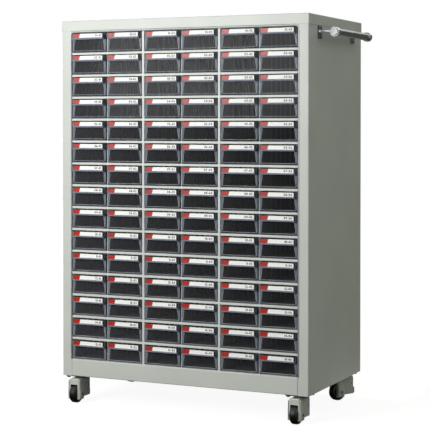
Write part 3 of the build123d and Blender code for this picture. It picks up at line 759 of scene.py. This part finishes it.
class CABINET_OT_lips(CabinetOperator):
    """Rolled finger lip under each card"""
    bl_idname = "cabinet.lips"
    bl_label = "Add finger lips"

    def make(self, sizes, colours):
        lip = swept([(LIP_HALF, 0), (-LIP_HALF, 0)], LIP_EDGE, False)
        milk = clear_polystyrene(
            "rolled_polystyrene_lip", colours.frost, colours.clear_edge, face_alpha=0.6, edge_alpha=0.9
        )
        on_every_drawer("finger_lip", lip, milk)


class CABINET_OT_bead(CabinetOperator):
    """Slim rolled bead round the drawer opening, and a dark strip outside it, painted shadow of the gap"""
    bl_idname = "cabinet.bead"
    bl_label = "Add the bead"

    def make(self, sizes, colours):
        low, high = np.array(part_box("shelves_left")[0]) / MM, np.array(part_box("shelves_right")[1]) / MM
        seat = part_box("side_panel_left")[0].y / MM
        back = low[1]
        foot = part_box("base_tray")[1].z / MM + BEAD_CLEARANCE
        path = self.path((low[0] + high[0]) / 2, high[0] + BEAD_OFFSET, foot)
        half, deep = sizes.bead_width / MM / 2, sizes.bead_depth / MM
        lean = np.linspace(0, np.pi, BEAD_STEPS)
        dome = np.stack([half * np.cos(lean), seat - deep * np.sin(lean)], -1)
        points, faces = swept(path, np.vstack([(half, back), dome, (-half, back)]), False)
        coat = powder_coat("powder_coated_bead", colours.shelf, 0.97, 0.35)
        build("opening_bead", points, faces, "cabinet", coat)
        # A dark strip just outside the bead: painted shadow in the gap there.
        near, far, face = -half, -half - GAP_SHADOW_WIDTH, seat - GAP_SHADOW_PROUD
        points, faces = swept(path, [(near, back), (near, face), (far, face), (far, back)], False)
        dark = coated_film("painted_gap_shadow", colours.gap_shadow, 0.8, 0.5)
        build("bead_gap_shadow", points, faces, "cabinet", dark, False)

    def path(self, middle, right, foot):
        """Up the right side from the foot, over the top and down the left side, with a
        quarter circle at each corner."""
        turn = np.linspace(0, np.pi / 2, BEAD_STEPS)
        x = right + BEAD_CORNER * (np.sin(turn) - 1)
        z = BEAD_TOP + BEAD_CORNER * (np.cos(turn) - 1)
        half = np.vstack([np.stack([x, z], -1), [(right, foot)]])
        return np.vstack([half[::-1], half * (-1, 1) + (2 * middle, 0)])


class CABINET_OT_handle(CabinetOperator):
    """Finishes of the push handle"""
    bl_idname = "cabinet.handle"
    bl_label = "Finish the handle"

    def make(self, sizes, colours):
        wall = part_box("handle_brackets")[0].x + FLANGE_FACE * MM
        # The flanges' dark blue is painted reflection and shade on their chrome.
        dress("handle_brackets", plated_metal(
            "polished_chrome_brackets", "e6e8ea", "cfd3d8",
            roughness=0.09, grain_mm=6.0, depth_mm=0.01, flange=(wall, "4d5878"),
        ))
        # The tube's chrome is darker and greener than the brackets': painted reflection of the shaded side
        # panel.
        dress("handle_tube", plated_metal(
            "satin_chrome_tube_painted_dark", "a2a6a2", "868a86", roughness=0.2, grain_mm=6.0, depth_mm=0.01
        ))
        # The screws are blue zinc plated; their dark tone is painted shade.
        dress("handle_screws", plated_metal(
            "blue_zinc_plate_painted_dark", "5c6478", "3b4258", roughness=0.28, grain_mm=2.0, depth_mm=0.02
        ))
        dress("handle_end_caps", moulded_plastic("moulded_pale_abs", "dcdcde", "b9bac0", 0.35))


class CABINET_OT_casters(CabinetOperator):
    """Finishes of the casters, and the pressed cheek and boss at each end of an axle"""
    bl_idname = "cabinet.casters"
    bl_label = "Finish the casters"

    def make(self, sizes, colours):
        enamel = powder_coat("enamelled_pressed_steel", colours.caster, 0.93, 0.36)
        zinc = plated_metal(
            "zinc_plated_fastener", "9a9c9e", "6a6c6f", roughness=0.36, grain_mm=2.0, depth_mm=0.02
        )
        nylon = moulded_plastic("moulded_black_nylon", "070708", "151517", 0.42)
        for node in ("caster_plates", "caster_bolts", "caster_kingpins"):
            dress(node, zinc)
        for place in CASTERS:
            dress("caster_fork_" + place, enamel)
            dress("brake_pedal_" + place, enamel)
            dress("caster_axle_" + place, zinc)
            dress("caster_wheel_" + place, nylon)
            self.at_axle("axle_boss_", place, self.boss(), enamel)
            self.at_axle("fork_cheek_", place, self.cheek(), enamel)

    def at_axle(self, stem, place, shape, enamel):
        """Shape and its mirror image, modelled round the middle of the axle with X along
        it and Z up, turned and set down at a caster."""
        joint = next(j for j in frame["joints"] if j["name"] == "wheel_spin_" + place)
        along = np.array(joint["axis"], float)
        side = np.array([-along[1], along[0], 0])
        points, faces = mirrored(shape)
        points = points @ np.stack([along, side, (0, 0, 1)]) + np.array(joint["pos_m"]) / MM
        build(stem + place, points, faces, "caster_" + place, enamel)

    def boss(self):
        """A low dome round the end of the axle, under the bolt's head: its radius falls
        from foot to top as a quarter cosine while it rises out of the cheek as a sine."""
        turn = np.linspace(0, np.pi / 2, BOSS_STEPS)
        x = BOSS_FOOT + (BOSS_HEAD - BOSS_FOOT) * np.sin(turn)
        radius = BOSS_TOP + (BOSS_RADIUS - BOSS_TOP) * np.cos(turn)
        profile = np.vstack([[(BOSS_ROOT, BOSS_RADIUS)], np.stack([x, radius], -1)])
        return turned(profile + (FORK_HALF + CHEEK_SWELL, 0), BOSS_SIDES)

    def cheek(self):
        """Pressed swelling down the front of a fork's leg. At height z its section is a
        rounded arc: X stands swell(z) sin(t)^square out of the leg while Y goes from the
        leg's front to its rear edge as -cos(t). The swelling grows smoothly from nothing
        under the shoulder to its full depth near the axle, and rounds off at the toe.
        Over the neck's height the rear edge draws in."""
        z = np.linspace(CHEEK_LOW, CHEEK_HIGH, CHEEK_RINGS)[:, None]
        t = np.linspace(0, np.pi, CHEEK_SIDES)[None, :]
        grown = np.clip((CHEEK_HIGH - z) / (CHEEK_HIGH - CHEEK_FULL), 0, 1)
        lower = 1 - np.clip((z - CHEEK_LOW) / CHEEK_TOE, 0, 1)
        toe = np.sqrt(CHEEK_TOE_SHARE + (1 - CHEEK_TOE_SHARE) * (1 - lower**2))
        swell = CHEEK_SWELL * grown**2 * (3 - 2 * grown) * toe + CHEEK_SKIN
        neck = np.clip((z - NECK_LOW) / (CHEEK_HIGH - NECK_LOW), 0, 1)
        front = LEG_FRONT + CHEEK_FRONT_INSET
        rear = LEG_REAR - CHEEK_REAR_INSET - NECK_CUT * neck**NECK_POWER
        x = FORK_HALF + swell * np.sin(t) ** CHEEK_SQUARE - CHEEK_SINK
        y = (front + rear) / 2 - (rear - front) / 2 * np.cos(t)
        face = np.stack([x, y, np.broadcast_to(z, x.shape)], -1)
        edges = np.hstack([rear, np.full_like(rear, front)])
        root = np.stack([np.full_like(edges, FORK_HALF - CHEEK_ROOT), edges, np.repeat(z, 2, 1)], -1)
        rings = np.concatenate([face, root], 1)
        count = rings.shape[1]
        return with_lids(rings.reshape(-1, 3), tube_faces(CHEEK_RINGS, count), count)


class CABINET_OT_stage(bpy.types.Operator):
    """White floor, soft lamps, flags and the camera"""
    bl_idname = "cabinet.stage"
    bl_label = "Set the stage"
    bl_options = {"REGISTER", "UNDO"}

    def execute(self, context):
        settings = context.scene.cabinet_stage
        self.floor(settings)
        self.world(context.scene, settings)
        self.lamp("key_lamp", KEY_PLACE, KEY_TARGET, KEY_SIZE, settings.key_power)
        self.lamp("side_lamp", SIDE_PLACE, SIDE_TARGET, SIDE_SIZE, settings.side_power)
        for name, near, far, low, high in FLAGS:
            self.flag(name, near, far, linear(low), linear(high))
        self.camera(context.scene)
        context.scene.view_settings.view_transform = "Standard"
        context.scene.cycles.transparent_max_bounces = CLEAR_WALLS
        return {"FINISHED"}

    def seen(self, tree):
        """1 where the camera, a mirror or clear plastic looks straight at the surface."""
        path = add_node(tree, "ShaderNodeLightPath").outputs
        both = add_node(
            tree, "ShaderNodeMath", {"operation": "MAXIMUM"},
            {0: path["Is Camera Ray"], 1: path["Is Glossy Ray"]},
        )
        clear = path["Is Transmission Ray"]
        return add_node(tree, "ShaderNodeMath", {"operation": "MAXIMUM"}, {0: both, 1: clear})

    def sheet(self, name, near, far):
        """Flat rectangle from its near lower to its far upper corner."""
        corners = [near, (far[0], *near[1:]), far, (near[0], *far[1:])]
        mesh = bpy.data.meshes.new(name)
        mesh.from_pydata(corners, [], [(0, 1, 2, 3)])
        sheet = bpy.data.objects.new(name, mesh)
        bpy.context.scene.collection.objects.link(sheet)
        return sheet

    def floor(self, settings):
        """Square of floor whose own white is topped up where it is seen, so that it
        meets the background and keeps the shadow."""
        floor = self.sheet("floor", (-FLOOR_HALF, -FLOOR_HALF, 0), (FLOOR_HALF, FLOOR_HALF, 0))
        material, tree, _ = new_finish("matt_white_floor")
        glow = add_node(
            tree, "ShaderNodeMath", {"operation": "MULTIPLY"}, {0: self.seen(tree), 1: settings.floor_glow}
        )
        finish(tree, {
            "Base Color": linear(FLOOR_GREY), "Roughness": 0.9, "Emission Color": WHITE,
            "Emission Strength": glow,
        })
        floor.data.materials.append(material)

    def world(self, scene, settings):
        """White where it is seen, and an even, faintly warm green fill for what it lights."""
        world = bpy.data.worlds.new("studio")
        scene.world = world
        world.use_nodes = True
        tree = world.node_tree
        tree.nodes.clear()
        fill = shade(settings.fill_tint, settings.fill)
        colour = from_to(tree, self.seen(tree), 0.0, 1.0, fill, WHITE)
        glow = add_node(tree, "ShaderNodeBackground", inputs={"Color": colour, "Strength": 1.0})
        add_node(tree, "ShaderNodeOutputWorld", inputs={"Surface": glow})

    def flag(self, name, near, far, low, high):
        """Card that only mirrors and glossy faces see, dark where the studio round the
        object was dark. It goes from the low colour at half its height to the high
        colour at its head."""
        card = self.sheet(name, near, far)
        for ray in ("camera", "diffuse", "transmission", "volume_scatter", "shadow"):
            setattr(card, "visible_" + ray, False)
        material, tree, place = new_finish(name + "_cloth")
        height = add_node(tree, "ShaderNodeSeparateXYZ", inputs={0: place}).outputs["Z"]
        share = add_node(tree, "ShaderNodeMath", {"operation": "DIVIDE"}, {0: height, 1: far[2]})
        # A ramp even where both colours are alike: with a Mix node there the back panel
        # renders a little darker, probably because a plain dark colour isn't sampled as a light.
        ramp = add_node(tree, "ShaderNodeValToRGB", inputs={"Fac": share})
        for element, at, colour in zip(ramp.color_ramp.elements, (0.5, 1.0), (low, high)):
            element.position, element.color = at, colour
        glow = add_node(tree, "ShaderNodeEmission", inputs={"Color": ramp})
        add_node(tree, "ShaderNodeOutputMaterial", inputs={"Surface": glow})
        card.data.materials.append(material)

    def lamp(self, name, place, target, size, power):
        """Square soft lamp that looks at its target."""
        light = bpy.data.lights.new(name, "AREA")
        light.shape, light.size, light.energy = "SQUARE", size, power
        lamp = bpy.data.objects.new(name, light)
        lamp.location = place
        lamp.rotation_euler = (Vector(target) - Vector(place)).to_track_quat("-Z", "Y").to_euler()
        bpy.context.scene.collection.objects.link(lamp)

    def camera(self, scene):
        """Camera at the photograph's place."""
        lens = bpy.data.cameras.new("camera")
        lens.sensor_width, lens.lens, lens.shift_y = CAMERA_SENSOR, CAMERA_LENS, CAMERA_SHIFT
        camera = bpy.data.objects.new("camera", lens)
        camera.location = CAMERA_PLACE
        camera.rotation_euler = Euler(np.radians((90 - CAMERA_PITCH, 0, CAMERA_TURN)))
        scene.collection.objects.link(camera)
        scene.camera = camera


class CABINET_PT_panel(bpy.types.Panel):
    """Lists the operators, with the sizes, colours and lights they read"""
    bl_label = "Parts bin cabinet"
    bl_idname = "CABINET_PT_panel"
    bl_space_type = "VIEW_3D"
    bl_region_type = "UI"
    bl_category = "Cabinet"

    def draw(self, context):
        for operator in OPERATORS:
            self.layout.operator(operator.bl_idname)
        for group in ("cabinet_sizes", "cabinet_colours", "cabinet_stage"):
            settings = getattr(context.scene, group)
            box = self.layout.box()
            for name in settings.bl_rna.properties.keys():
                if name not in ("rna_type", "name"):
                    box.prop(settings, name)


OPERATORS = (
    CABINET_OT_shell, CABINET_OT_drawers, CABINET_OT_cards, CABINET_OT_tabs, CABINET_OT_numbers,
    CABINET_OT_windows, CABINET_OT_pull_ends, CABINET_OT_lips, CABINET_OT_bead, CABINET_OT_handle,
    CABINET_OT_casters, CABINET_OT_stage,
)
GROUPS = {
    "cabinet_sizes": CabinetSizes, "cabinet_colours": CabinetColours, "cabinet_stage": CabinetStage,
}


def register():
    for group in GROUPS.values():
        bpy.utils.register_class(group)
    for name, group in GROUPS.items():
        setattr(bpy.types.Scene, name, bpy.props.PointerProperty(type=group))
    for operator in OPERATORS:
        bpy.utils.register_class(operator)
    bpy.utils.register_class(CABINET_PT_panel)


def unregister():
    bpy.utils.unregister_class(CABINET_PT_panel)
    for operator in reversed(OPERATORS):
        bpy.utils.unregister_class(operator)
    for name, group in GROUPS.items():
        delattr(bpy.types.Scene, name)
        bpy.utils.unregister_class(group)


def main():
    register()
    for operator in OPERATORS:
        group, name = operator.bl_idname.split(".")
        getattr(getattr(bpy.ops, group), name)()


if __name__ == "__main__":
    main()
